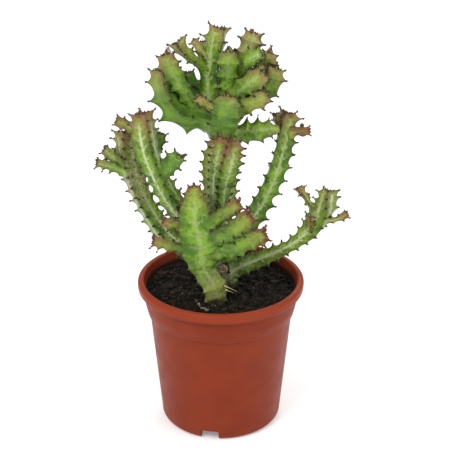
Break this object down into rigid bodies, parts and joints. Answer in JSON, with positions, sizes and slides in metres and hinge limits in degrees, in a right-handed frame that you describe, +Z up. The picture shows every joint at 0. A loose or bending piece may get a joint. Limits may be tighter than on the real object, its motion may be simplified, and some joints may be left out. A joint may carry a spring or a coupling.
{
  "type": "potted euphorbia",
  "caption": "Spiny candelabra euphorbia with ribbed, branching green stems and reddish crowns, growing in a round terracotta-coloured nursery pot.",
  "frame": {"origin": "middle of the pot's foot, on the surface that the pot stands on", "axes": "+Z up along the pot's axis, -Y towards the plant's front (the side with the short front stem), +X to the right seen from the front"},
  "size_m": [0.176, 0.12, 0.2953],
  "materials": {
    "pot_plastic": "satin",
    "soil": "matte",
    "plant_skin": "satin"
  },
  "bodies": {
    "root": {"pot": "pot_plastic", "potting_soil": "soil", "stem_front": "plant_skin", "stem_centre": "plant_skin", "head_shoots": "plant_skin", "stem_left_inner": "plant_skin", "stem_left_outer": "plant_skin", "stem_right": "plant_skin", "stem_right_low": "plant_skin"}
  },
  "joints": []
}
